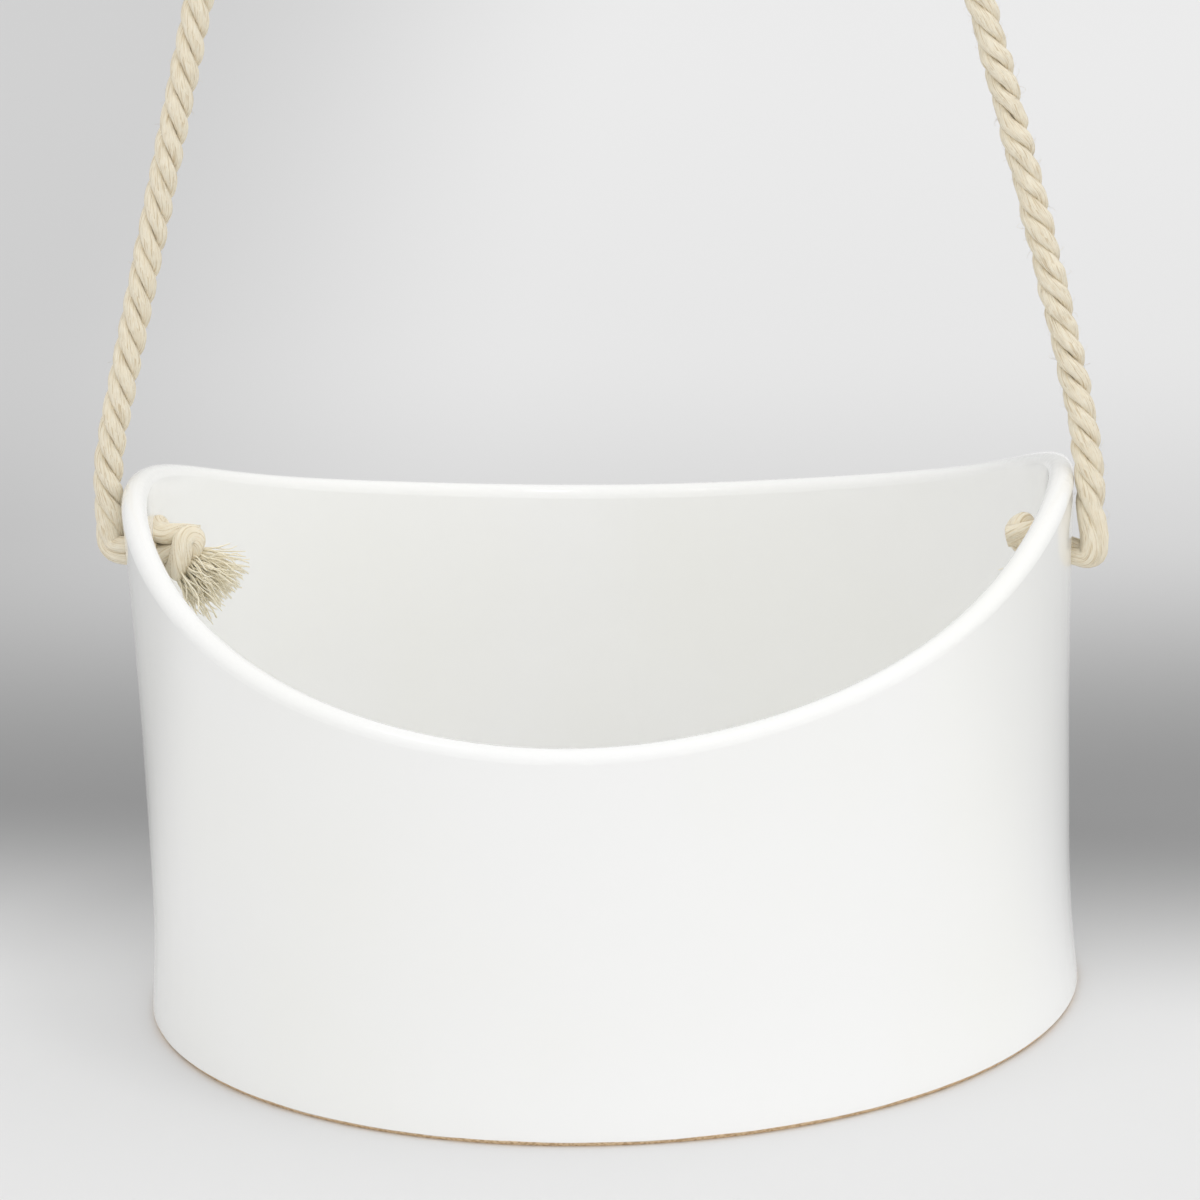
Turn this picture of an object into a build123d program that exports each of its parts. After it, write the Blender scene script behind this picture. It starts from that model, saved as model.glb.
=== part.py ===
from build123d import *
from math import cos, pi, radians, sin, sqrt, tan
import os

# Ceramic hanging planter: a round glazed pot with a saddle rim, hung from one twisted cotton rope.
# The rope's ends are knotted inside two side holes, and its middle is tied into a hanging loop.
# Millimetres. The origin is the seat of the hanging loop, where a hook carries it, and +Z is up.
# Every height is measured up from the surface that the pot would stand on.

# pot wall: drawn in to a waist, flared to the foot and to the two sides of the rim
base_radius = 92.0
waist_draw_in = 1.2
waist_height = 22.0
rim_side_flare = 2.4
wall = 5.0
wall_curve_points = 7

# saddle rim: dips at the front and back, peaks at the two sides
dip_height = 78.0
peak_height = 106.0
peak_share = 0.34
lip_round = 2.3
round_share_of_wall = 0.46
rim_curve_points = 48

# floor and foot
floor_thickness = 6.0
floor_corner_radius = 12.0
foot_chamfer = 1.0
foot_ring_width = 7.0
foot_recess = 1.2

# rope and its holes
rope_diameter = 6.0
hole_below_peak = 15.0
hole_clearance = 0.8
hole_round = 1.0

# rope legs: close outside the wall up to the rim, then leaning in to the top knot
wall_gap = 0.3
seat_gap = 0.3
turn_gap = 0.2
exit_bend_radius = 6.0
lean_start_above_rim = 3.0
leg_lean = 13.8
leg_spread_at_knot = 5.0
knot_entry_run = 4.0

# top knot
top_knot_width = 36.0
top_knot_depth = 24.0
top_knot_height = 20.0
top_knot_round = 7.0

# hanging loop: each spread is from the middle to the rope's centre line
loop_inside_height = 22.0
loop_foot_spread = 4.5
loop_foot_run = 4.5
loop_shoulder_spread = 10.5
loop_shoulder_height = 12.5
loop_side_spread = 10.0
loop_side_drop = 5.0
loop_top_spread = 4.5

# stopper knots inside the pot
stopper_radius = 6.7
stopper_length = 11.0
stopper_wall_round = 2.3
stopper_inner_round = 4.5

# frayed ends: the left one lies flatter than the right one
frayed_root_radius = 3.2
frayed_tip_radius = 6.5
frayed_length = 15.0
frayed_tip_round = 2.0
frayed_facet_margin = 0.3
left_frayed_slope = 40.0
right_frayed_slope = 62.0

os.makedirs("parts", exist_ok=True)

waist_radius = base_radius - waist_draw_in
rim_side_radius = waist_radius + rim_side_flare


def outer_radius(height):
    """Radius of the pot's outer wall at one height."""
    if height < waist_height:
        share = (waist_height - height) / waist_height
        return waist_radius + waist_draw_in * share**2
    share = (height - waist_height) / (peak_height - waist_height)
    return waist_radius + rim_side_flare * share**2


def rim_height(angle):
    """Height of the rim, at an angle measured round from the front dip."""
    side = sin(radians(angle)) ** 2
    share = (1 - peak_share) * side + peak_share * side**4
    return dip_height + (peak_height - dip_height) * share


rope_radius = rope_diameter / 2
hole_radius = rope_radius + hole_clearance
hole_height = peak_height - hole_below_peak
leg_x = max(outer_radius(hole_height), rim_side_radius) + wall_gap + rope_radius
lean_start_height = peak_height + lean_start_above_rim
lean_rise = (leg_x - leg_spread_at_knot) / tan(radians(leg_lean))
lean_end_height = lean_start_height + lean_rise
top_knot_base_height = lean_end_height + knot_entry_run
loop_foot_height = top_knot_base_height + top_knot_height
hang_height = loop_foot_height + loop_inside_height
base_z = -hang_height
hole_z = base_z + hole_height
stopper_x = outer_radius(hole_height) - wall - seat_gap
print("hang height, from the loop's seat to the base", round(hang_height, 2))


def wall_curve(from_height, inset):
    """Points of the wall from one height to above the rim, moved inwards by the inset."""
    step = (blank_height - from_height) / (wall_curve_points - 1)
    heights = [from_height + step * count for count in range(wall_curve_points)]
    return [(outer_radius(height) - inset, base_z + height) for height in heights]


def ring_wire(radius, height_at):
    """A closed smooth ring that starts at the front, with its height given by the angle."""
    points = []
    for count in range(rim_curve_points):
        angle = 360 * count / rim_curve_points
        along_x = radius * sin(radians(angle))
        along_y = -radius * cos(radians(angle))
        points.append((along_x, along_y, base_z + height_at(angle)))
    with BuildLine() as ring:
        Spline(*points, periodic=True)
    return ring.wire()


# The blank stands above the peaks, and the cutter's underside takes it down to the saddle rim.
# That underside is level along every radius, so the rim is as high inside as outside.
blank_height = peak_height + wall
cutter_inner_radius = min(waist_radius, rim_side_radius) - 2 * wall
cutter_outer_radius = max(base_radius, rim_side_radius) + wall
rim_cutter = Solid.make_loft(
    [
        ring_wire(cutter_inner_radius / 2, lambda angle: dip_height),
        ring_wire(cutter_inner_radius, rim_height),
        ring_wire(cutter_outer_radius, rim_height),
        ring_wire(cutter_outer_radius, lambda angle: blank_height + wall),
    ],
    ruled=True,
)

# two rounds on the wall's two edges leave a narrow flat between them
widest_round = round_share_of_wall * wall
foot_ring_inside = base_radius - foot_ring_width
floor_corner_height = floor_thickness + floor_corner_radius
flat_floor_radius = outer_radius(floor_corner_height) - wall - floor_corner_radius

with BuildPart() as pot:
    with BuildSketch(Plane.YZ):
        with BuildLine():
            outside = Spline(*wall_curve(foot_chamfer, 0))
            inside = Spline(*reversed(wall_curve(floor_corner_height, wall)))
            Line(outside @ 1, inside @ 0)
            floor_corner = TangentArc(
                inside @ 1, (flat_floor_radius, base_z + floor_thickness), tangent=inside % 1
            )
            Polyline(
                floor_corner @ 1,
                (0, base_z + floor_thickness),
                (0, base_z + foot_recess),
                (foot_ring_inside, base_z + foot_recess),
                (foot_ring_inside, base_z),
                (base_radius - foot_chamfer, base_z),
                outside @ 0,
            )
        make_face()
    revolve(axis=Axis.Z)
    add(rim_cutter, mode=Mode.SUBTRACT)
    rim_face = pot.faces().sort_by(Axis.Z)[-1]
    rim_edges = rim_face.edges().filter_by(lambda edge: edge.length > wall)
    fillet(rim_edges, radius=min(lip_round, widest_round))
    with BuildSketch(Plane.YZ):
        with Locations((0, hole_z)):
            Circle(hole_radius)
    extrude(amount=cutter_outer_radius, both=True, mode=Mode.SUBTRACT)
    near_hole = pot.edges().filter_by(lambda edge: abs(edge.center().Z - hole_z) < hole_radius)
    hole_rings = near_hole.filter_by(GeomType.LINE, reverse=True)
    fillet(hole_rings, radius=min(hole_round, widest_round))
pot.part.label = "pot"
export_step(pot.part, "parts/pot.step")


# each bend takes this share of the shorter run beside it, so two bends never meet on one run
bend_share_of_run = 0.45


def largest_bends(points):
    """The largest radius that fits at each corner of a route."""
    radii = []
    for before, here, after in zip(points, points[1:], points[2:]):
        run_in = Vector(*here) - Vector(*before)
        run_out = Vector(*after) - Vector(*here)
        half_turn = radians(run_in.get_angle(run_out) / 2)
        radii.append(bend_share_of_run * min(run_in.length, run_out.length) / tan(half_turn))
    return radii


def rope_stretch(name, points, radii):
    """One stretch of the rope, swept along straight runs joined by tangent arcs."""
    with BuildPart() as stretch:
        with BuildLine() as route:
            FilletPolyline(*points, radius=radii)
        path = route.wire()
        with BuildSketch(Plane(path @ 0, z_dir=path % 0)):
            Circle(rope_radius)
        sweep(path=path)
    stretch.part.label = name
    export_step(stretch.part, f"parts/{name}.step")
    plain_volume = pi * rope_radius**2 * path.length
    print(name, "length", round(path.length, 2), "bend radii", [round(radius, 1) for radius in radii])
    print(name, "volume over section times length", round(stretch.part.volume / plain_volume, 4))


# rope legs: straight and tight, as the photograph shows them, so the long run is one run
for side_name, side in (("left", -1), ("right", 1)):
    leg_points = [
        (side * (stopper_x + turn_gap), 0, hole_z),
        (side * leg_x, 0, hole_z),
        (side * leg_x, 0, base_z + lean_start_height),
        (side * leg_spread_at_knot, 0, base_z + lean_end_height),
        (side * leg_spread_at_knot, 0, base_z + top_knot_base_height),
    ]
    leg_radii = largest_bends(leg_points)
    leg_radii[0] = exit_bend_radius
    rope_stretch(f"rope_{side_name}_leg", leg_points, leg_radii)

# hanging loop: the middle of the rope, open enough for a hook
loop_foot_z = base_z + loop_foot_height
loop_side = [
    (loop_foot_spread, 0, loop_foot_z),
    (loop_foot_spread, 0, loop_foot_z + loop_foot_run),
    (loop_shoulder_spread, 0, loop_foot_z + loop_shoulder_height),
    (loop_side_spread, 0, rope_radius - loop_side_drop),
    (loop_top_spread, 0, rope_radius),
]
loop_points = [(-x, y, z) for x, y, z in loop_side] + loop_side[::-1]
rope_stretch("hanging_loop", loop_points, largest_bends(loop_points))

# top knot: both legs go in below, and both sides of the loop come out above
with BuildPart() as top_knot:
    with BuildSketch(Plane.XY.offset(base_z + top_knot_base_height)):
        Ellipse(top_knot_width / 2, top_knot_depth / 2)
    extrude(amount=top_knot_height)
    fillet(top_knot.edges().filter_by(GeomType.LINE, reverse=True), radius=top_knot_round)
top_knot.part.label = "top_knot"
export_step(top_knot.part, "parts/top_knot.step")

# stopper knots inside the pot, each with the rope's frayed end fanning out of a facet low on it
for side_name, side, slope in (("left", -1, left_frayed_slope), ("right", 1, right_frayed_slope)):
    frayed_way = Vector(-side * cos(radians(slope)), 0, -sin(radians(slope)))
    facet_radius = frayed_root_radius + frayed_facet_margin
    facet_distance = (
        (stopper_length / 2 - stopper_inner_round) * cos(radians(slope))
        + (stopper_radius - stopper_inner_round) * sin(radians(slope))
        + sqrt(stopper_inner_round**2 - facet_radius**2)
    )
    stopper_centre = Vector(side * (stopper_x - stopper_length / 2), 0, hole_z)
    facet = Plane(stopper_centre + frayed_way * facet_distance, z_dir=frayed_way)

    with BuildPart() as stopper:
        with BuildSketch(Plane((side * stopper_x, 0, hole_z), z_dir=(-side, 0, 0))):
            Circle(stopper_radius)
        extrude(amount=stopper_length)
        wall_ring = stopper.edges().filter_by(GeomType.CIRCLE).sort_by(Axis.X, reverse=side < 0)[-1]
        fillet(wall_ring, radius=stopper_wall_round)
        inner_ring = stopper.edges().filter_by(GeomType.CIRCLE).sort_by(Axis.X, reverse=side < 0)[0]
        fillet(inner_ring, radius=stopper_inner_round)
        split(bisect_by=facet, keep=Keep.BOTTOM)
    stopper.part.label = f"{side_name}_knot"
    export_step(stopper.part, f"parts/{side_name}_knot.step")

    with BuildPart() as frayed_end:
        with BuildSketch(facet):
            Circle(frayed_root_radius)
        with BuildSketch(facet.offset(frayed_length)):
            Circle(frayed_tip_radius)
        loft()
        tip_ring = frayed_end.edges().filter_by(GeomType.CIRCLE).sort_by(SortBy.RADIUS)[-1]
        fillet(tip_ring, radius=frayed_tip_round)
    frayed_end.part.label = f"{side_name}_frayed_end"
    export_step(frayed_end.part, f"parts/{side_name}_frayed_end.step")
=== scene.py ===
import math

import bpy
import numpy as np
from mathutils import Matrix, Vector


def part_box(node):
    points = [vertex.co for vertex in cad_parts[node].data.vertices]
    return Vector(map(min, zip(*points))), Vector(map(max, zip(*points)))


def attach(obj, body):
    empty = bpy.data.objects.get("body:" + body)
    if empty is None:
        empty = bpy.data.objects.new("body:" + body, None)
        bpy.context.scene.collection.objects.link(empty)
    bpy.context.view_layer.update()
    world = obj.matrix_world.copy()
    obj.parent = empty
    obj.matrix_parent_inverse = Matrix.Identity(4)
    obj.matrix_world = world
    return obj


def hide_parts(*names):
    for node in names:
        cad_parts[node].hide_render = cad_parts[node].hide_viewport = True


# Ceramic hanging planter: a glazed round pot on a twisted cotton rope. Metres, in the frame of the CAD.

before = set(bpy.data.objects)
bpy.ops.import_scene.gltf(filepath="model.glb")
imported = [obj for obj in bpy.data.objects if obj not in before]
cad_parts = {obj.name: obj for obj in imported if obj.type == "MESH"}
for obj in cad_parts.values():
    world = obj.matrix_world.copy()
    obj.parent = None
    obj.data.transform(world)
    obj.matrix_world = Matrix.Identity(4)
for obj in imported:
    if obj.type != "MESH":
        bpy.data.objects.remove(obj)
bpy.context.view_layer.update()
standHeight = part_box("pot")[0].z  # the surface that the pot stands on
print("frame loaded, stands at", round(standHeight, 4))

cameraView = {
    "place": (0.1211, -1.5720, 0.0250),
    "pan": 4.416,
    "lookDown": 16.68,
    "roll": -2.016,
    "lens": 251.7,
    "sensor": 36.0,
    "near": 0.05,
    "far": 30.0,
}


def setCamera():
    data = bpy.data.cameras.new("camera")
    data.lens = cameraView["lens"]
    data.sensor_width = cameraView["sensor"]
    data.clip_start = cameraView["near"]
    data.clip_end = cameraView["far"]
    camera = bpy.data.objects.new("camera", data)
    bpy.context.scene.collection.objects.link(camera)
    turn = Matrix.Rotation(math.radians(cameraView["pan"]), 4, "Z")
    turn = turn @ Matrix.Rotation(math.radians(90 - cameraView["lookDown"]), 4, "X")
    turn = turn @ Matrix.Rotation(math.radians(cameraView["roll"]), 4, "Z")
    camera.matrix_world = Matrix.Translation(cameraView["place"]) @ turn
    bpy.context.scene.camera = camera


setCamera()
bpy.context.scene.view_settings.view_transform = "Standard"
print("camera set")


# A wire is a socket that Python's operators work on; each operator adds a Math node.
class Wire:
    def __init__(self, recipe, socket):
        self.recipe = recipe
        self.socket = socket

    def math(self, operation, first, second):
        return self.recipe.node("ShaderNodeMath", {"operation": operation}, {0: first, 1: second})

    def __add__(self, other):
        return self.math("ADD", self, other)

    def __radd__(self, other):
        return self.math("ADD", other, self)

    def __sub__(self, other):
        return self.math("SUBTRACT", self, other)

    def __rsub__(self, other):
        return self.math("SUBTRACT", other, self)

    def __mul__(self, other):
        return self.math("MULTIPLY", self, other)

    def __rmul__(self, other):
        return self.math("MULTIPLY", other, self)


class Recipe:
    def __init__(self, owner):
        owner.use_nodes = True
        self.owner = owner
        self.tree = owner.node_tree
        self.tree.nodes.clear()

    # Any node: its type, its settings, which are set first, and what its sockets get.
    def node(self, kind, settings=None, sockets=None, output=0):
        made = self.tree.nodes.new(kind)
        for key, value in (settings or {}).items():
            setattr(made, key, value)
        for key, value in (sockets or {}).items():
            if isinstance(value, Wire):
                self.tree.links.new(value.socket, made.inputs[key])
            elif isinstance(value, tuple) and len(value) == 3 and made.inputs[key].type == "RGBA":
                made.inputs[key].default_value = (*value, 1.0)
            else:
                made.inputs[key].default_value = value
        return Wire(self, made.outputs[output])

    def mix(self, share, first, second):
        settings = {"data_type": "RGBA", "blend_type": "MIX"}
        return self.node("ShaderNodeMix", settings, {0: share, 6: first, 7: second}, output=2)

    # 0 below one edge, 1 above the other, and smooth between them
    def step(self, value, low, high):
        settings = {"interpolation_type": "SMOOTHSTEP"}
        return self.node("ShaderNodeMapRange", settings, {0: value, 1: low, 2: high, 3: 0.0, 4: 1.0})

    def noise(self, place, scale, detail=3.0, roughness=0.5):
        sockets = {"Vector": place, "Scale": scale, "Detail": detail, "Roughness": roughness}
        return self.node("ShaderNodeTexNoise", None, sockets)

    # one of a vector's three parts
    def part(self, vector, axis):
        return self.node("ShaderNodeSeparateXYZ", None, {0: vector}, output=axis)

    def bump(self, height, strength, distance):
        return self.node("ShaderNodeBump", None, {"Strength": strength, "Distance": distance, "Height": height})

    # the last two nodes, of a material or of the world
    def close(self, shaderKind, sockets, outputKind):
        shader = self.node(shaderKind, None, sockets)
        end = self.tree.nodes.new(outputKind)
        self.tree.links.new(shader.socket, end.inputs["Surface"])
        return self.owner

    def surface(self, sockets):
        return self.close("ShaderNodeBsdfPrincipled", sockets, "ShaderNodeOutputMaterial")


def linear(red, green, blue):
    shares = [value / 255 for value in (red, green, blue)]
    return tuple(s / 12.92 if s < 0.04045 else ((s + 0.055) / 1.055) ** 2.4 for s in shares)


glazeLook = {
    "white": linear(250, 250, 249),
    "warmWhite": linear(249, 249, 246),
    "cloudWaves": 14.0,  # the faint warm clouds in the white, waves per metre
    "cloudEdges": (0.35, 0.7),
    "clay": linear(234, 208, 172),
    "darkClay": linear(200, 168, 128),
    "grainWaves": 1400.0,  # the grain of the bare clay
    "grainEdges": (0.4, 0.65),
    "clayEdge": 0.0009,  # how far up the bare clay shows at the foot
    "edgeWander": 0.0005,
    "edgeWaves": 60.0,
    "edgeSoft": 0.00012,
    "swellWaves": 22.0,  # the slow swell of the glazed surface
    "swell": 0.9,
    "grain": 0.06,
    "bump": 0.12,
    "bumpDistance": 0.002,
    "gloss": 0.06,  # roughness of the glaze, and next of the bare clay
    "clayRough": 0.75,
}


def glazeMaterial():
    look = glazeLook
    recipe = Recipe(bpy.data.materials.new("whiteGlaze"))
    place = recipe.node("ShaderNodeTexCoord", output=3)
    height = recipe.part(place, 2) - standHeight
    uneven = recipe.noise(place, look["edgeWaves"], 4.0) - 0.5
    edge = uneven * (2 * look["edgeWander"]) + look["clayEdge"]
    glazed = recipe.step(height - edge, -look["edgeSoft"], look["edgeSoft"])
    cloud = recipe.step(recipe.noise(place, look["cloudWaves"], 2.0), *look["cloudEdges"])
    white = recipe.mix(cloud, look["white"], look["warmWhite"])
    grain = recipe.noise(place, look["grainWaves"])
    clay = recipe.mix(recipe.step(grain, *look["grainEdges"]), look["clay"], look["darkClay"])
    swell = recipe.noise(place, look["swellWaves"], 1.0) * (look["swell"] * glazed)
    relief = swell + grain * (look["grain"] * (1 - glazed))
    rough = look["clayRough"] - glazed * (look["clayRough"] - look["gloss"])
    return recipe.surface({
        "Base Color": recipe.mix(glazed, clay, white), "Roughness": rough,
        "Normal": recipe.bump(relief, look["bump"], look["bumpDistance"]),
    })


def dressPot():
    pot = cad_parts["pot"]
    pot.data.materials.clear()
    pot.data.materials.append(glazeMaterial())


dressPot()
print("pot glazed")


rope = {
    "diameter": 0.006,
    "strands": 3,
    "strandOffset": 0.0016,
    "strandWide": 0.00172,
    "strandDeep": 0.00131,
    "lay": 0.0162,  # length of one full turn of the three strands
    "startTurn": 0.4,
    "yarns": 8,
    "yarnTurn": 0.0125,  # length of one turn of a strand's yarns, which turn the other way
    "yarnDepth": 0.00011,
    "yarnLevel": 0.6,  # share of that depth that is cut into the strand, and the rest stands out
    "yarnLoose": 0.8,  # how much deeper it is on a loose rope
    "turnWander": 0.25,  # how far a loose rope's strands wander round it, and over what length
    "turnWave": 0.03,
    "offsetWander": 0.12,
    "offsetWave": 0.02,
    "sizeWander": 0.03,
    "sizeLoose": 0.05,
    "sizeWave": 0.012,
    "patternShift": 0.37,  # from one strand's pattern to the next, in turns
    "ringGap": 0.0006,
    "sides": 24,
}

# Each leg: out of its hole, up close to the wall, past the rim and on to the top knot.
legRoutes = {
    "left": [
        (-0.08732, 0, -0.43652), (-0.0925, 0, -0.4362), (-0.0958, 0.0020, -0.4362),
        (-0.0967, 0.0028, -0.4345), (-0.0966, 0.0026, -0.4290), (-0.0964, 0.0015, -0.41852),
        (-0.09221, 0, -0.40104), (-0.00595, 0, -0.04988), (-0.005, 0, -0.046),
        (-0.005, 0, -0.042),
    ],
    "right": [
        (0.08732, 0, -0.4370), (0.0930, -0.0005, -0.4390), (0.0963, -0.0015, -0.4395),
        (0.0967, -0.0020, -0.4370), (0.0963, -0.0020, -0.4310), (0.0959, -0.0010, -0.41852),
        (0.0931, 0, -0.4012), (0.0775, 0, -0.3290), (0.00595, 0, -0.04988),
        (0.005, 0, -0.046), (0.005, 0, -0.042),
    ],
}
loopRoute = [
    (-0.0045, 0, -0.022), (-0.0045, 0, -0.0175), (-0.0105, 0, -0.0095),
    (-0.010, 0, -0.002), (-0.0045, 0, 0.003), (0.0045, 0, 0.003),
    (0.010, 0, -0.002), (0.0105, 0, -0.0095), (0.0045, 0, -0.0175),
    (0.0045, 0, -0.022),
]


def splineLine(points):
    curve = bpy.data.curves.new("route", "CURVE")
    curve.dimensions = "3D"
    curve.resolution_u = 48
    spline = curve.splines.new("NURBS")
    spline.points.add(len(points) - 1)
    for knot, place in zip(spline.points, points):
        knot.co = (*place, 1.0)
    spline.order_u = 3
    spline.use_endpoint_u = True
    holder = bpy.data.objects.new("route", curve)
    mesh = bpy.data.meshes.new_from_object(holder)
    line = np.array([vertex.co for vertex in mesh.vertices])
    bpy.data.meshes.remove(mesh)
    bpy.data.objects.remove(holder)
    bpy.data.curves.remove(curve)
    return line


# How far along the line each of its points is
def alongLine(line):
    return np.concatenate([[0], np.cumsum(np.linalg.norm(np.diff(line, axis=0), axis=1))])


def length(line):
    return float(alongLine(line)[-1])


def pointsAt(line, places):
    along = alongLine(line)
    return np.stack([np.interp(places, along, line[:, k]) for k in range(3)], axis=1)


def evenLine(line, gap):
    whole = length(line)
    places = np.linspace(0, whole, max(2, round(whole / gap) + 1))
    return pointsAt(line, places), places


def fixedCount(line, count):
    return pointsAt(line, np.linspace(0, length(line), count))


def unit(vectors):
    return vectors / np.linalg.norm(vectors, axis=-1, keepdims=True)


# The two directions across a line at each of its points, with no twist of their own.
def acrossLine(line, first=(0, 1, 0)):
    ahead = unit(np.gradient(line, axis=0))
    side = np.zeros_like(line)
    now = np.array(first, float)
    for k, forward in enumerate(ahead):
        now = now - forward * (now @ forward)
        now = now / np.linalg.norm(now)
        side[k] = now
    return ahead, side, np.cross(ahead, side)


# A slow wander between about -1 and 1 along a line, the same each run.
def wander(places, wave, seed):
    chance = np.random.default_rng(seed)
    total = np.zeros_like(places)
    for k in range(1, 5):
        total += np.sin(places * (2 * math.pi * chance.uniform(0.6, 1.4) * k / wave) + chance.uniform(0, 7)) / k
    return total / 1.6


# Round rings of points about a line, as far out from it as reach
def roundRings(line, side, up, reach, around):
    rings = line[:, None, :] + side[:, None, :] * (reach * np.cos(around))[:, :, None]
    return rings + up[:, None, :] * (reach * np.sin(around))[:, :, None]


# Joins rings of points into one tube, with a UV map: around the tube, and along it in metres.
def tubeParts(rings, places):
    count, sides = rings.shape[:2]
    row, column = np.meshgrid(np.arange(count - 1), np.arange(sides), indexing="ij")
    after = (column + 1) % sides
    near, far = row * sides, (row + 1) * sides
    quads = np.stack([near + column, near + after, far + after, far + column], axis=-1)
    around = np.stack([column, column + 1, column + 1, column], axis=-1) / sides
    along = np.stack([places[row], places[row], places[row + 1], places[row + 1]], axis=-1)
    uvs = np.stack([around, along], axis=-1)
    return rings.reshape(-1, 3), quads.reshape(-1, 4), uvs.reshape(-1, 4, 2)


def buildMesh(name, tubes, material):
    points, faces, uvs, start = [], [], [], 0
    for tubePoints, quads, tubeUvs, sides in tubes:
        points.append(tubePoints)
        faces += (quads + start).tolist()
        uvs.append(tubeUvs.reshape(-1, 2))
        first = list(range(start, start + sides))
        last = list(range(start + len(tubePoints) - sides, start + len(tubePoints)))
        faces.append(first[::-1])
        faces.append(last)
        uvs.append(np.tile(tubeUvs.reshape(-1, 2)[0], (sides, 1)))
        uvs.append(np.tile(tubeUvs.reshape(-1, 2)[-1], (sides, 1)))
        start += len(tubePoints)
    mesh = bpy.data.meshes.new(name)
    mesh.from_pydata(np.concatenate(points).tolist(), [], faces)
    layer = mesh.uv_layers.new(name="along")
    layer.data.foreach_set("uv", np.concatenate(uvs).astype(np.float32).ravel())
    mesh.polygons.foreach_set("use_smooth", [True] * len(mesh.polygons))
    mesh.validate()
    mesh.update()
    mesh.materials.append(material)
    piece = bpy.data.objects.new(name, mesh)
    bpy.context.scene.collection.objects.link(piece)
    return piece


# Three strands twisted round a line, each with yarns that turn the other way, as rings of points. How they
# lie may change along the line: twist and spread against the tight rope, swell for the strands' own size, press
# for the whole rope's and loose for how unevenly it is laid.
def strandRings(line, places, size, seed, lie):
    side, up = acrossLine(line)[1:]
    gap = np.gradient(places)
    turned = -2 * math.pi * np.cumsum(lie["twist"] * gap) / size["lay"]
    phase = 2 * math.pi * np.cumsum(lie["twist"] * gap) / size["yarnTurn"]
    around = np.linspace(0, 2 * math.pi, size["sides"], endpoint=False)
    loose, strands = lie["loose"], []
    for strand in range(size["strands"]):
        angle = size["startTurn"] + turned + 2 * math.pi * strand / size["strands"]
        angle = angle + loose * size["turnWander"] * wander(places, size["turnWave"], seed + strand)
        out = side * np.cos(angle)[:, None] + up * np.sin(angle)[:, None]
        over = -side * np.sin(angle)[:, None] + up * np.cos(angle)[:, None]
        uneven = 1 + loose * size["offsetWander"] * wander(places, size["offsetWave"], seed + 10 + strand)
        centre = line + out * (size["strandOffset"] * lie["spread"] * lie["press"] * uneven)[:, None]
        sizes = wander(places, size["sizeWave"], seed + 20 + strand)
        fat = lie["swell"] * lie["press"] * (1 + (size["sizeWander"] + size["sizeLoose"] * loose) * sizes)
        ridge = np.abs(np.sin(size["yarns"] / 2 * (around[None, :] - phase[:, None])))
        depth = size["yarnDepth"] * (1 + size["yarnLoose"] * loose)[:, None] * (ridge - size["yarnLevel"])
        deep = (size["strandDeep"] * fat)[:, None] + depth
        wide = (size["strandWide"] * fat)[:, None] + depth
        rings = centre[:, None, :] + out[:, None, :] * (deep * np.cos(around))[:, :, None]
        strands.append(rings + over[:, None, :] * (wide * np.sin(around))[:, :, None])
    return strands, phase / (2 * math.pi)


# The ring that each corner of a tube's faces is on
def ringOf(quads, sides):
    return quads // sides


# One stretch of the rope, cut from its strands' rings
def strandTubes(strands, places, yarnTurns, size, first, last):
    tubes = []
    for strand, rings in enumerate(strands):
        points, quads, uvs = tubeParts(rings[first:last + 1], places[first:last + 1])
        uvs[:, :, 0] += strand * size["patternShift"] - yarnTurns[first:last + 1][ringOf(quads, size["sides"])]
        tubes.append((points, quads, uvs, size["sides"]))
    return tubes


fuzz = {
    "thick": 0.000028,
    "taper": 0.6,
    "reach": 0.0026,  # where the fibres start, from the middle of the rope
    "clear": 4,  # rings of the rope at each end that have none
    "size": (0.4, 1.0),  # against the longest
    "rise": (0.15, 0.7),
    "arch": (0.5, 0.95),
    "points": 5,
    "sides": 3,
}


# Short loose fibres that stand off a rope, each a thin closed hair
def fuzzTubes(line, count, seed, longest):
    chance = np.random.default_rng(seed)
    ahead, side, up = acrossLine(line)
    share = np.linspace(0, 1, fuzz["points"])
    around = np.linspace(0, 2 * math.pi, fuzz["sides"], endpoint=False)
    thick = fuzz["thick"] * (1 - fuzz["taper"] * share)
    tubes = []
    for k in range(count):
        ring = int(chance.integers(fuzz["clear"], len(line) - fuzz["clear"]))
        turn = chance.uniform(0, 2 * math.pi)
        out = side[ring] * math.cos(turn) + up[ring] * math.sin(turn)
        over = np.cross(ahead[ring], out)
        size = longest * chance.uniform(*fuzz["size"])
        rise = chance.uniform(*fuzz["rise"])
        run = unit(ahead[ring] * chance.uniform(-1, 1) + over * chance.uniform(-1, 1))
        hair = line[ring] + out * fuzz["reach"] + run * (share * size)[:, None]
        hair = hair + out * (size * rise * np.sin(share * math.pi * chance.uniform(*fuzz["arch"])))[:, None]
        sideways, upward = acrossLine(hair, tuple(out + 0.01))[1:]
        points, quads, uvs = tubeParts(roundRings(hair, sideways, upward, thick[:, None], around), share * size)
        tubes.append((points, quads, uvs, fuzz["sides"]))
    return tubes


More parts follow.
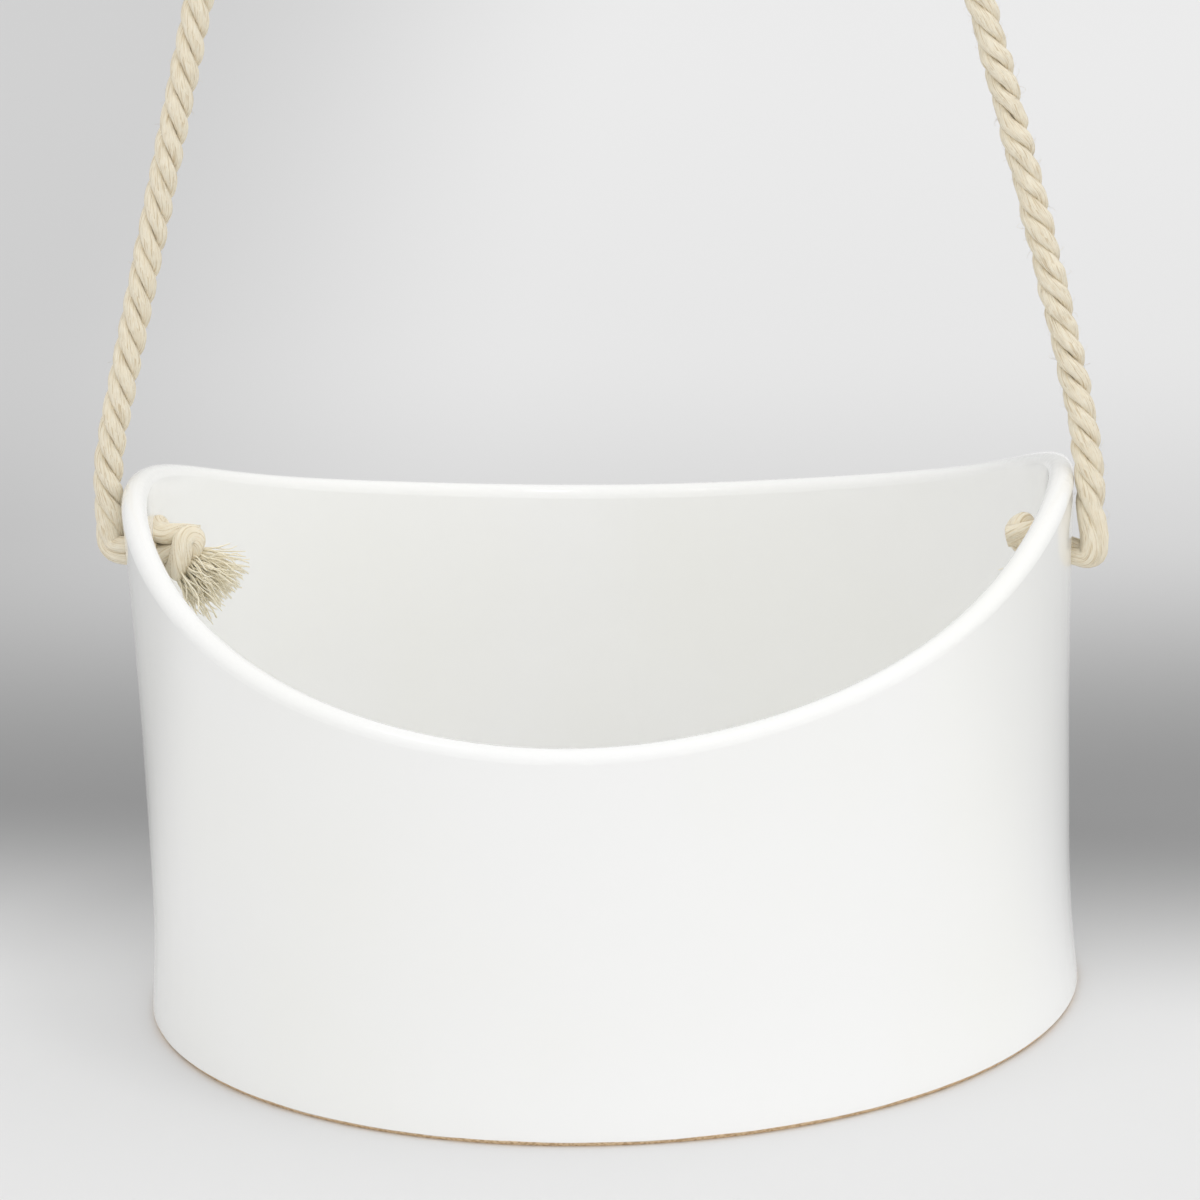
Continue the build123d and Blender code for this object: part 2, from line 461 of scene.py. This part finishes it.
ropeLook = {
    # deep is painted shade for the thread grooves, and cream is painted light for the raised fibres
    "rope": {"cream": linear(254, 247, 228), "tan": linear(246, 233, 206), "deep": linear(212, 191, 154)},
    # frayed is a paler copy of the rope's colours: painted light that offsets the shade between the tassels'
    # dense yarns
    "frayed": {"cream": linear(255, 250, 234), "tan": linear(250, 241, 214), "deep": linear(230, 214, 176)},
    "bump": {"rope": 0.8, "frayed": 0.15},
    "bumpDistance": 0.0003,
    # Each noise: its cycles round a strand and per metre along it, where its colour starts and is full, and
    # how strong that colour is.
    "fibres": {"cycles": (90.0, 500.0), "edges": (0.35, 0.65), "strength": 1.0, "height": 0.6},
    "threads": {"cycles": (34.0, 170.0), "edges": (0.5, 0.66), "strength": 0.75, "height": 1.2},
    "patches": {"cycles": (2.0, 60.0), "edges": (0.45, 0.7), "strength": 0.35},
    "rough": 0.9,
    "sheen": 0.2,
    "sheenRough": 0.5,
    "shine": 0.15,
}


def ropeMaterial(name):
    recipe = Recipe(bpy.data.materials.new("cotton_" + name))
    colors = ropeLook[name]
    along = recipe.node("ShaderNodeUVMap", {"uv_map": "along"})
    noises, shows = {}, {}
    for kind in ("fibres", "threads", "patches"):
        look = ropeLook[kind]
        turns, lengths = look["cycles"]
        sockets = {0: recipe.part(along, 0) * turns, 1: recipe.part(along, 1) * lengths}
        noises[kind] = recipe.noise(recipe.node("ShaderNodeCombineXYZ", None, sockets), 1.0, 3.0, 0.6)
        shows[kind] = recipe.step(noises[kind], *look["edges"]) * look["strength"]
    # The colour follows the bump's relief: paler where the fibres stand up and darker in the thread grooves, as
    # painted light and painted shade on the yarns.
    color = recipe.mix(shows["fibres"], colors["tan"], colors["cream"])
    color = recipe.mix(shows["threads"], color, colors["deep"])
    color = recipe.mix(shows["patches"], color, colors["tan"])
    relief = noises["fibres"] * ropeLook["fibres"]["height"] - noises["threads"] * ropeLook["threads"]["height"]
    return recipe.surface({
        "Base Color": color, "Roughness": ropeLook["rough"],
        "Normal": recipe.bump(relief, ropeLook["bump"][name], ropeLook["bumpDistance"]),
        "Sheen Weight": ropeLook["sheen"], "Sheen Roughness": ropeLook["sheenRough"],
        "Specular IOR Level": ropeLook["shine"],
    })


cotton = ropeMaterial("rope")
frayedCotton = ropeMaterial("frayed")


# How a knot is pulled tight: at each step some rounds that even it out, each with pushes that part the ropes
pulling = {
    "rounds": 8,
    "pushes": 2,
    "stiffness": 0.1,
    "ownReach": 1.5,  # places of one rope that are nearer along it, in thicknesses, don't push each other
}


# Ropes pulled tight on themselves: each rope slowly shortens between its two held ends, and no two places
# of it come nearer than its thickness.
def tightenRopes(ropes, thick, steps, shrink):
    count = len(ropes[0])
    points = np.concatenate(ropes)
    which = np.repeat(np.arange(len(ropes)), count)
    gap = np.linalg.norm(ropes[0][1] - ropes[0][0])
    first, second = np.triu_indices(len(points), 1)
    far = (which[first] != which[second]) | (second - first > math.ceil(pulling["ownReach"] * thick / gap))
    first, second = first[far], second[far]
    link = np.nonzero(which[1:] == which[:-1])[0]
    inner = np.nonzero(which[2:] == which[:-2])[0] + 1
    fixed = np.concatenate([[k * count, (k + 1) * count - 1] for k in range(len(ropes))])
    places = points[fixed].copy()
    for step in range(steps):
        gap *= shrink
        for again in range(pulling["rounds"]):
            points[fixed] = places
            apart = points[link + 1] - points[link]
            size = np.linalg.norm(apart, axis=1, keepdims=True)
            move = apart / size * (size - gap) * 0.5
            np.add.at(points, link, move)
            np.add.at(points, link + 1, -move)
            middle = (points[inner - 1] + points[inner + 1]) / 2
            points[inner] += (middle - points[inner]) * pulling["stiffness"]
            for push in range(pulling["pushes"]):
                apart = points[second] - points[first]
                size = np.linalg.norm(apart, axis=1)
                near = np.nonzero(size < thick)[0]
                if len(near):
                    shove = apart[near] / size[near][:, None] * ((thick - size[near]) * 0.5)[:, None]
                    total = np.zeros_like(points)
                    np.add.at(total, first[near], -shove)
                    np.add.at(total, second[near], shove)
                    touching = np.concatenate([first[near], second[near]])
                    hits = np.bincount(touching, minlength=len(points)).clip(1)
                    points += total / np.sqrt(hits)[:, None]
    points[fixed] = places
    return [points[k * count:(k + 1) * count] for k in range(len(ropes))]


# The path of a loose overhand knot along X: in, once round the rope's own run, and back out through the
# middle. In thicknesses of the rope, bead is how far out it goes round and half is half the way that takes.
def looseKnot(thick, look):
    reach, bead, half = look["reach"], look["bead"], look["half"]
    path = [(-reach, 0, -0.5), (-half, 0, -0.5), (half * 0.9, 0, -0.5), (half + 0.9, 0, 0.2)]
    steps = 10
    for k in range(steps + 1):
        turn = math.pi / 2 + 2 * math.pi * k / steps
        path.append((half - 2 * half * k / steps, bead * math.cos(turn), bead * math.sin(turn)))
    path += [(-half - 0.9, 0, 1.1), (-half * 0.7, 0, 0.55), (half, 0, 0.55), (reach, 0, 0.5)]
    return np.array(path, float) * thick


def softened(line, times):
    line = line.copy()
    for k in range(times):
        line[1:-1] = 0.5 * line[1:-1] + 0.25 * (line[:-2] + line[2:])
    return line


topKnot = {
    "thick": 0.0050,  # each rope in the knot, pressed
    "loose": 1.35,  # the loose knot's size before it is pulled tight
    "reach": 5.6,
    "bead": 1.9,
    "half": 1.7,
    "beside": 0.52,  # half the way from one rope to the other, in thicknesses
    "points": 110,
    "soften": 4,
    "steps": 90,
    "shrink": 0.997,
    "core": 1.3,  # what lies further out than this, in thicknesses, is the knot's body
    "stretch": (0.8, 1.22, 1.12),  # up the knot, across it and through it
    "lower": 0.002,
    "joinGap": 0.004,  # kept free above and below, where the knot's ropes turn into the legs and the loop
    "press": 0.9,  # the rope's size in the knot, against the free rope
}


# The doubled rope tied once: both ropes follow the same overhand path, side by side, from the two legs up
# to the two feet of the loop.
def topKnotLines():
    thick = topKnot["thick"]
    path = fixedCount(looseKnot(thick * topKnot["loose"], topKnot), topKnot["points"])
    path = softened(path, topKnot["soften"])
    beside = np.array([0, topKnot["beside"] * thick, 0])
    pair = tightenRopes([path - beside, path + beside], thick, topKnot["steps"], topKnot["shrink"])
    every = np.concatenate(pair)
    body = every[np.hypot(every[:, 1], every[:, 2]) > topKnot["core"] * thick]
    low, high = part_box("top_knot")
    middle = np.array(low + high) / 2 - np.array([0, 0, topKnot["lower"]])
    lines = []
    for index, knotted in enumerate(pair):
        local = (knotted - (body.min(axis=0) + body.max(axis=0)) / 2) * topKnot["stretch"]
        placed = np.stack([local[:, 1], local[:, 2], local[:, 0]], axis=1) + middle
        bottom, ceiling = low.z + topKnot["joinGap"], high.z - topKnot["joinGap"]
        inner = np.nonzero((placed[:, 2] > bottom) & (placed[:, 2] < ceiling))[0]
        foot = np.array(legRoutes["right" if index else "left"][-1])
        top = np.array(loopRoute[-1 if index else 0])
        lines.append(np.concatenate([[foot], placed[inner.min() + 1:inner.max()], [top]]))
    print("top knot", np.round(1000 * (body.max(axis=0) - body.min(axis=0)) * topKnot["stretch"], 1))
    return lines


legLook = {
    "left": {"loose": 0.2, "fuzz": 500, "fuzzLong": 0.0016, "open": (0.008, 0.019), "seed": 3},
    "right": {"loose": 0.8, "fuzz": 900, "fuzzLong": 0.0022, "open": (0.012, 0.024), "seed": 40},
}


def ramp(value, low, high):
    share = np.clip((value - low) / (high - low), 0, 1)
    return share * share * (3 - 2 * share)


def hump(value, middle, wide):
    return np.exp(-((value - middle) / wide) ** 2)


laying = {
    "softenKnots": 60,
    "softenAll": 3,
    "softenJoins": 80,
    "joinReach": 0.007,
    "foldAt": 0.012,  # the fold outside each hole, from the rope's end
    "foldReach": 0.006,
    "foldSize": {"left": 1.0, "right": 1.3},
    "foldSpread": 0.12,  # in a fold the strands lie closer and are thicker
    "foldSwell": 0.11,
    "openTwist": 0.15,  # the twist that is left at the holes, where the strands run side by side
    "pressReach": 0.006,  # over which the rope gets thinner into the knot
}


# The rope is one length: from the left hole up to the knot, through it, round the loop, back through the
# knot and down to the right hole. It is laid as one and then cut into its pieces.
def layRope():
    knotted = topKnotLines()
    stretches = [
        ("leftRopeLeg", splineLine(legRoutes["left"])),
        ("topKnotRope", knotted[0]),
        ("hangingLoopRope", splineLine(loopRoute)),
        ("topKnotRope", knotted[1][::-1]),
        ("rightRopeLeg", splineLine(legRoutes["right"])[::-1]),
    ]
    ends, line = [0.0], stretches[0][1][:1]
    for name, stretch in stretches:
        even = evenLine(stretch, rope["ringGap"])[0]
        if name == "topKnotRope":
            even = softened(even, laying["softenKnots"])
        line = np.concatenate([line, even[1:]])
        ends.append(length(line))
    line, places = evenLine(softened(line, laying["softenAll"]), rope["ringGap"])
    nearJoin = sum(hump(places, end, laying["joinReach"]) for end in ends[1:-1]).clip(0, 1)[:, None]
    line = line * (1 - nearJoin) + softened(line, laying["softenJoins"]) * nearJoin
    line, places = evenLine(line, rope["ringGap"])
    cuts = [int(round(end / ends[-1] * (len(line) - 1))) for end in ends]
    fromRight = places[-1] - places
    share = ramp(places, ends[1], ends[4])
    loose = legLook["left"]["loose"] * (1 - share) + legLook["right"]["loose"] * share
    fold = laying["foldSize"]["left"] * hump(places, laying["foldAt"], laying["foldReach"])
    fold = fold + laying["foldSize"]["right"] * hump(fromRight, laying["foldAt"], laying["foldReach"])
    closed = ramp(places, *legLook["left"]["open"]) * ramp(fromRight, *legLook["right"]["open"])
    inKnot, fade = np.zeros_like(places), laying["pressReach"]
    for first, last in ((ends[1], ends[2]), (ends[3], ends[4])):
        inKnot += ramp(places, first, first + fade) * (1 - ramp(places, last - fade, last))
    lie = {
        "twist": laying["openTwist"] + (1 - laying["openTwist"]) * closed, "loose": loose,
        "spread": 1 - laying["foldSpread"] * fold, "swell": 1 + laying["foldSwell"] * fold,
        "press": 1 - (1 - topKnot["press"]) * inKnot,
    }
    strands, yarnTurns = strandRings(line, places, rope, legLook["left"]["seed"], lie)
    tubes, lines = {}, {}
    for (name, _), first, last in zip(stretches, cuts, cuts[1:]):
        tubes.setdefault(name, [])
        tubes[name] += strandTubes(strands, places, yarnTurns, rope, first, last)
        lines[name] = line[first:last + 1]
    return tubes, lines


# A piece of rope rides on its body, in place of its node.
def ropePiece(name, tubes, material, body, node):
    piece = buildMesh(name, tubes, material)
    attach(piece, body)
    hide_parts(node)
    return piece


ropeTubes, ropeLines = layRope()
for sideName, look in legLook.items():
    name = sideName + "RopeLeg"
    ropeTubes[name] += fuzzTubes(ropeLines[name], look["fuzz"], look["seed"], look["fuzzLong"])
leftLeg = ropePiece("leftRopeLeg", ropeTubes["leftRopeLeg"], cotton, "rope_hanger", "rope_left_leg")
rightLeg = ropePiece("rightRopeLeg", ropeTubes["rightRopeLeg"], cotton, "rope_hanger", "rope_right_leg")
loop = ropePiece("hangingLoopRope", ropeTubes["hangingLoopRope"], cotton, "rope_hanger", "hanging_loop")
ropePiece("topKnotRope", ropeTubes["topKnotRope"], cotton, "rope_hanger", "top_knot")
print("rope laid", {name: round(length(line), 3) for name, line in ropeLines.items()})


stopper = {
    "thick": 0.0034,  # the rope pressed tight in the knot
    "radius": 0.62,  # of the rope that is seen, in thicknesses, so that its turns touch
    "reach": 6.0,
    "bead": 1.6,
    "half": 1.4,
    "points": 110,
    "soften": 4,
    "softenPlaced": 2,
    "steps": 95,
    "shrink": 0.997,
    "core": 0.8,
    "flat": {"left": 0.85, "right": 0.6},  # how far it is pulled flat against the wall
    "shift": {"left": (-0.0018, 0, 0.0008), "right": (0.0028, 0, -0.0006)},
    "intoWall": 0.0012,  # how far past its space it runs into the hole
    "tail": 0.9,  # where it ends on the other side, as a share of half its space
    "seed": {"left": 5, "right": 9},
    "lobes": 0.00022,
    "lobeTurn": 0.6,
    "ridges": 13,
    "ridgeDepth": 0.00016,
    "ridgeLevel": 0.6,
    "ridgeWander": 0.6,
    "ridgeWave": 0.008,
    "turn": 0.030,
    "sides": 52,
    "ringGap": 0.00035,
}


# The knot's rope: one round bundle with its yarns as ridges and its strands as low lobes
def bundleTube(line, places, size, seed):
    side, up = acrossLine(line, (0.1, 0.3, 1))[1:]
    around = np.linspace(0, 2 * math.pi, size["sides"], endpoint=False)
    turn = 2 * math.pi * places / size["turn"]
    uneven = size["ridgeWander"] * wander(places, size["ridgeWave"], seed)[:, None]
    yarns = np.abs(np.sin(size["ridges"] * (around[None, :] + turn[:, None]) + uneven))
    lobes = np.cos(rope["strands"] * (around[None, :] + size["lobeTurn"] * turn[:, None]))
    radius = size["thick"] * size["radius"]
    reach = radius + size["ridgeDepth"] * (yarns - size["ridgeLevel"]) + size["lobes"] * lobes
    points, quads, uvs = tubeParts(roundRings(line, side, up, reach, around), places)
    uvs[:, :, 0] += (turn / (2 * math.pi))[ringOf(quads, size["sides"])]
    return points, quads, uvs, size["sides"]


def stopperLine():
    path = softened(fixedCount(looseKnot(stopper["thick"], stopper), stopper["points"]), stopper["soften"])
    line = tightenRopes([path], stopper["thick"], stopper["steps"], stopper["shrink"])[0]
    body = line[np.hypot(line[:, 1], line[:, 2]) > stopper["core"] * stopper["thick"]]
    line[:, 0] -= (body[:, 0].min() + body[:, 0].max()) / 2
    print("stopper knot", np.round(1000 * (body.max(axis=0) - body.min(axis=0)), 1))
    return line


def makeStopperKnot(sideName, line):
    low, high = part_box(sideName + "_knot")
    way = 1 if sideName == "left" else -1
    reach = (high.x - low.x) / 2
    middle = (low + high) / 2 + Vector(stopper["shift"][sideName])
    placed = line * np.array([way * stopper["flat"][sideName], way, 1.0]) + np.array(middle)
    wallEnd = middle.x - way * (reach + stopper["intoWall"])
    tailEnd = middle.x + way * reach * stopper["tail"]
    inside = np.nonzero(((placed[:, 0] - wallEnd) * way > 0) & ((placed[:, 0] - tailEnd) * way < 0))[0]
    placed = softened(placed[inside.min():inside.max() + 1], stopper["softenPlaced"])
    smooth, places = evenLine(placed, stopper["ringGap"])
    tube = bundleTube(smooth, places, stopper, stopper["seed"][sideName])
    return ropePiece(sideName + "StopperKnot", [tube], cotton, "pot", sideName + "_knot")


tassel = {
    "yarns": 270,
    "seed": {"left": 11, "right": 12},
    "length": {"left": (0.0045, 0.0098), "right": (0.001, 0.0035)},
    "hidden": 0.004,  # more of each yarn, inside the knot
    "aim": {"left": (0.8, -0.15, -0.58), "right": (-0.1, -0.4, -0.9)},
    "below": 0.0012,
    "root": 0.0021,
    "spread": 0.66,
    "lean": (0.5, 1.1),
    "thick": 0.00019,
    "thickRange": (0.7, 1.3),
    "taper": 0.35,
    "droop": 90.0,
    "droopRange": (0.0, 0.1),
    "curl": 0.0013,
    "curlRange": (0.3, 1),
    "curlWaves": (0.7, 1.6),
    "bend": 1.5,
    "patternShift": 0.137,
    "steps": 10,
    "sides": 4,
}


def makeTassel(sideName):
    low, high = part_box(sideName + "_knot")
    start = np.array((low + high) / 2 + Vector(stopper["shift"][sideName]) - Vector((0, 0, tassel["below"])))
    ahead = unit(np.array(tassel["aim"][sideName]))
    side = unit(np.cross(ahead, (0.3, 1.0, 0.2)))
    up = np.cross(ahead, side)
    chance = np.random.default_rng(tassel["seed"][sideName])
    tubes = []
    share = np.linspace(0, 1, tassel["steps"])
    around = np.linspace(0, 2 * math.pi, tassel["sides"], endpoint=False)
    for k in range(tassel["yarns"]):
        out = math.sqrt(chance.uniform(0, 1))
        turn = chance.uniform(0, 2 * math.pi)
        spoke = side * math.cos(turn) + up * math.sin(turn)
        root = start + spoke * out * tassel["root"]
        lean = tassel["spread"] * out * chance.uniform(*tassel["lean"])
        aim = unit(ahead + spoke * lean)
        size = chance.uniform(*tassel["length"][sideName]) + tassel["hidden"]
        curlTurn = chance.uniform(0, 7)
        curlWave = chance.uniform(*tassel["curlWaves"])
        curlSize = tassel["curl"] * chance.uniform(*tassel["curlRange"])
        across = unit(np.cross(aim, chance.normal(size=3)))
        other = np.cross(aim, across)
        sway = np.sin(curlTurn + share * 2 * math.pi * curlWave) - math.sin(curlTurn)
        line = root + aim * (share * size)[:, None] + across * (sway * curlSize * share)[:, None]
        line = line + other * (curlSize * share ** 2 * tassel["bend"])[:, None]
        line[:, 2] -= tassel["droop"] * (share * size) ** 2 * chance.uniform(*tassel["droopRange"])
        thick = tassel["thick"] * chance.uniform(*tassel["thickRange"]) * (1 - tassel["taper"] * share ** 3)
        sideways, upward = acrossLine(line, tuple(across))[1:]
        points, quads, uvs = tubeParts(roundRings(line, sideways, upward, thick[:, None], around), share * size)
        uvs[:, :, 0] += k * tassel["patternShift"]
        tubes.append((points, quads, uvs, tassel["sides"]))
    return ropePiece(sideName + "FrayedYarns", tubes, frayedCotton, "pot", sideName + "_frayed_end")


stopperPath = stopperLine()
knots = {name: makeStopperKnot(name, stopperPath) for name in legRoutes}
tassels = {name: makeTassel(name) for name in legRoutes}


print("knots tied")


stageLook = {
    "size": 16.0,
    "pale": linear(231, 231, 231),
    "far": linear(239, 239, 239),
    "farPaintedLightEdges": (0.3, 0.9),  # where the floor is painted paler away from the viewer: painted light where less lamp light reaches
    # the grey that the floor's painted shade mixes towards
    "paintedShadeGrey": linear(60, 60, 61),
    "shadeBelt": 0.645,  # strength of the painted shade: a soft grey belt of shadow on the floor behind the pot
    "shadeBeltStart": (-0.03, 0.1),
    "shadeBeltMiddle": 0.1,
    "shadeBeltSlant": 0.12,
    "shadeBeltFades": ((0.12, 0.32, 0.6), (0.18, 0.5, 0.4)),  # from, to and how much of it
    "left": 0.25,  # and of the painted shade, greyer on the left further back
    "leftShadeEdges": (-0.19, -0.05),
    "leftShadeStart": (0.1, 0.35),
}


def stageMaterial():
    look = stageLook
    recipe = Recipe(bpy.data.materials.new("paleFloor"))
    place = recipe.node("ShaderNodeTexCoord", output=3)
    across, back = recipe.part(place, 0), recipe.part(place, 1)
    # Painted light: the floor is painted paler away from the viewer.
    color = recipe.mix(recipe.step(back, *look["farPaintedLightEdges"]), look["pale"], look["far"])
    # Painted shade: a soft grey belt of shadow across the floor behind the pot, fading further back.
    fades = [recipe.step(back, low, high) * much for low, high, much in look["shadeBeltFades"]]
    slanted = back + (across - look["shadeBeltMiddle"]) * look["shadeBeltSlant"]
    shadeBelt = recipe.step(slanted, *look["shadeBeltStart"]) * (1 - (fades[0] + fades[1]))
    color = recipe.mix(shadeBelt * look["shadeBelt"], color, look["paintedShadeGrey"])
    # Painted shade: the floor is painted greyer on the left, further back.
    left = (1 - recipe.step(across, *look["leftShadeEdges"])) * recipe.step(back, *look["leftShadeStart"])
    color = recipe.mix(left * look["left"], color, look["paintedShadeGrey"])
    return recipe.surface({"Base Color": color, "Roughness": 0.9, "Specular IOR Level": 0.1})


def makeStage():
    bpy.ops.object.select_all(action="DESELECT")
    bpy.ops.mesh.primitive_plane_add(size=stageLook["size"], location=(0, 0, standHeight))
    floor = bpy.context.object
    floor.name = "paleFloor"
    floor.data.materials.append(stageMaterial())


makeStage()


lampPlan = {
    "left": {"azimuth": -52, "height": 65, "distance": 1.3, "wide": 0.22, "deep": 0.18, "power": 0.3},
    "right": {"azimuth": 46, "height": 72, "distance": 1.3, "wide": 0.22, "deep": 0.18, "power": 0.9},
}
lampTarget = 0.06  # height above the floor that the lamps point at
surround = {"all": 0.82, "front": 0.21, "right": 0.17, "above": 0.19}


def makeLamps():
    target = Vector((0, 0, standHeight + lampTarget))
    for name, plan in lampPlan.items():
        data = bpy.data.lights.new("softbox_" + name, "AREA")
        data.shape = "RECTANGLE"
        data.size = plan["wide"]
        data.size_y = plan["deep"]
        data.energy = plan["power"]
        lamp = bpy.data.objects.new("softbox_" + name, data)
        bpy.context.scene.collection.objects.link(lamp)
        turn, rise = math.radians(plan["azimuth"]), math.radians(plan["height"])
        away = Vector((math.sin(turn) * math.cos(rise), -math.cos(turn) * math.cos(rise), math.sin(rise)))
        lamp.location = target + away * plan["distance"]
        lamp.rotation_euler = away.to_track_quat("Z", "Y").to_euler()


# The surround is whiter towards the front, where the room is, and a little greyer on the left.
def makeSurround():
    recipe = Recipe(bpy.data.worlds.new("studio"))
    way = recipe.node("ShaderNodeTexCoord", output=0)
    right, back, above = [recipe.part(way, axis) for axis in range(3)]
    strength = surround["all"] + right * surround["right"] - back * surround["front"] + above * surround["above"]
    sockets = {"Color": (1, 1, 1), "Strength": strength}
    bpy.context.scene.world = recipe.close("ShaderNodeBackground", sockets, "ShaderNodeOutputWorld")


makeSurround()
makeLamps()
print("stage and lamps set")
